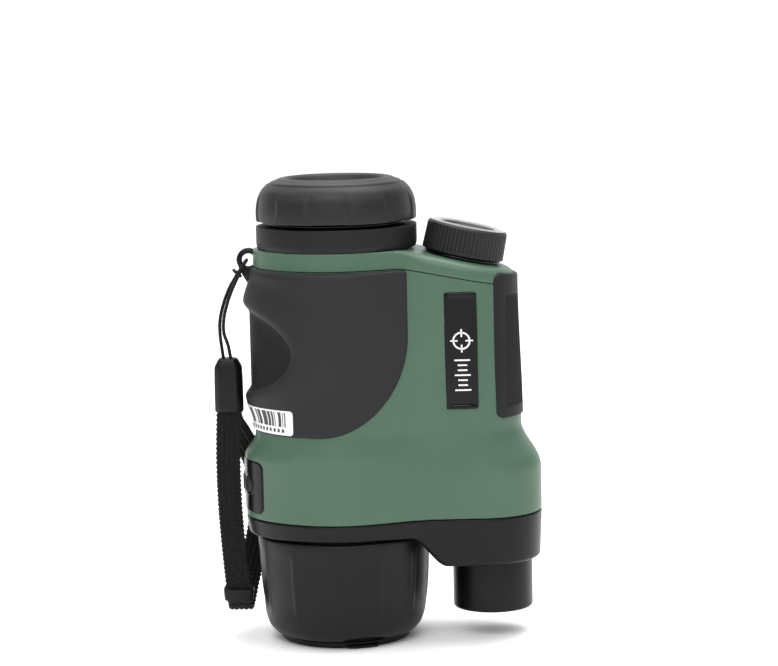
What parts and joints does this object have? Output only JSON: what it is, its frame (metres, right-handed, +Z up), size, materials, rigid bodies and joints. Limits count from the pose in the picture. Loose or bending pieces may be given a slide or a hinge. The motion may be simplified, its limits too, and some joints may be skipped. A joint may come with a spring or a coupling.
{
  "type": "handheld monocular rangefinder",
  "caption": "Handheld monocular rangefinder with a large ribbed objective, an emitter tube beside it, an eyepiece, a screw battery cap, rubber grips and a wrist strap.",
  "frame": {"origin": "on the objective axis, in the plane of the objective cap's resting face", "axes": "+Z up the optical axis towards the eyepiece, +X towards the battery column, -Y out of the front face with the nameplate"},
  "size_m": [0.0938, 0.0496, 0.1335],
  "materials": {
    "green_shell": "fine moulded texture, satin",
    "black_plastic": "moulded, satin",
    "grip_rubber": "soft touch, matt",
    "ring_rubber": "moulded, satin",
    "button_rubber": "matt",
    "seal_rubber": "smooth",
    "gloss_black": "high gloss",
    "label": "printed vinyl",
    "glass": "coated optical glass",
    "aluminium": "turned",
    "black_anodised": "black anodised",
    "polished_metal": "polished",
    "steel": "plated",
    "brass": "bright",
    "battery_sleeve": "shrink sleeve",
    "circuit_board": "solder mask",
    "cord": "braided",
    "webbing": "ribbed weave"
  },
  "bodies": {
    "instrument": {"main_housing": "green_shell", "rear_cover": "green_shell", "front_housing": "black_plastic", "left_grip": "grip_rubber", "right_grip": "grip_rubber", "nameplate": "gloss_black", "serial_label": "label", "control_panel": "gloss_black", "front_gasket": "seal_rubber", "rear_gasket": "seal_rubber", "case_screw_1": "steel", "case_screw_2": "steel", "case_screw_3": "steel", "case_screw_4": "steel", "objective_barrel": "aluminium", "emitter_tube": "black_plastic", "emitter_lens": "glass", "emitter_module": "aluminium", "eyepiece_barrel": "black_plastic", "eyepiece_seal": "seal_rubber", "display_module": "gloss_black", "battery_tube": "black_plastic", "battery": "battery_sleeve", "battery_spring": "steel", "image_sensor": "gloss_black", "sensor_board": "circuit_board", "keypad_board": "circuit_board", "main_board": "circuit_board", "strap_lug": "black_plastic", "lanyard_cord": "cord", "cord_ferrule": "black_plastic", "wrist_webbing": "webbing", "strap_keeper": "black_plastic"},
    "focus_ring": {"objective_focus_ring": "ring_rubber"},
    "objective_group": {"objective_cell": "black_anodised", "objective_front_lens": "glass", "objective_rear_lens": "glass", "objective_retainer": "black_anodised"},
    "cap": {"objective_cap": "black_plastic"},
    "eyepiece_ring": {"diopter_ring": "ring_rubber", "eyecup": "ring_rubber"},
    "ocular_group": {"ocular_cell": "black_anodised", "ocular_lens": "glass", "ocular_retainer": "black_anodised"},
    "cap_carrier": {"battery_cap_oring": "seal_rubber", "cap_contact": "brass"},
    "cap_screw": {"battery_cap": "black_plastic", "cap_trim_ring": "polished_metal"},
    "power_key": {"power_button": "button_rubber"},
    "measure_key": {"measure_button": "button_rubber"},
    "mode_key": {"mode_button": "button_rubber"}
  },
  "joints": [
    {"name": "focus_turn", "type": "hinge", "parent": "instrument", "child": "focus_ring", "pos_m": [0, 0, 0.016], "axis": [0, 0, 1], "range_deg": [-150, 150]},
    {"name": "focus_slide", "type": "slide", "parent": "instrument", "child": "objective_group", "axis": [0, 0, 1], "range_m": [-0.00151, 0.00151]},
    {"name": "objective_cap_pull", "type": "slide", "parent": "focus_ring", "child": "cap", "axis": [0, 0, -1], "range_m": [0, 0.03]},
    {"name": "diopter_turn", "type": "hinge", "parent": "instrument", "child": "eyepiece_ring", "pos_m": [0, 0, 0.126], "axis": [0, 0, 1], "range_deg": [-60, 60]},
    {"name": "diopter_slide", "type": "slide", "parent": "instrument", "child": "ocular_group", "axis": [0, 0, 1], "range_m": [-0.00101, 0.00101]},
    {"name": "battery_cap_lift", "type": "slide", "parent": "instrument", "child": "cap_carrier", "axis": [0.2122, 0, 0.9772], "range_m": [0, 0.0075]},
    {"name": "battery_cap_turn", "type": "hinge", "parent": "cap_carrier", "child": "cap_screw", "pos_m": [0.0357, 0, 0.1094], "axis": [0.2122, 0, 0.9772], "range_deg": [0, 1800]},
    {"name": "power_press", "type": "slide", "parent": "instrument", "child": "power_key", "axis": [1, 0, 0], "range_m": [0, 0.0006], "stiffness_N_per_m": 600, "springref_m": -0.001},
    {"name": "measure_press", "type": "slide", "parent": "instrument", "child": "measure_key", "axis": [1, 0, 0], "range_m": [0, 0.0006], "stiffness_N_per_m": 600, "springref_m": -0.001},
    {"name": "mode_press", "type": "slide", "parent": "instrument", "child": "mode_key", "axis": [1, 0, 0], "range_m": [0, 0.0006], "stiffness_N_per_m": 600, "springref_m": -0.001}
  ],
  "couplings": [
    {"joint": "focus_slide", "follows": "focus_turn", "m_per_rad": 0.000573},
    {"joint": "diopter_slide", "follows": "diopter_turn", "m_per_rad": 0.00095},
    {"joint": "battery_cap_turn", "follows": "battery_cap_lift", "rad_per_m": 4188.8}
  ]
}
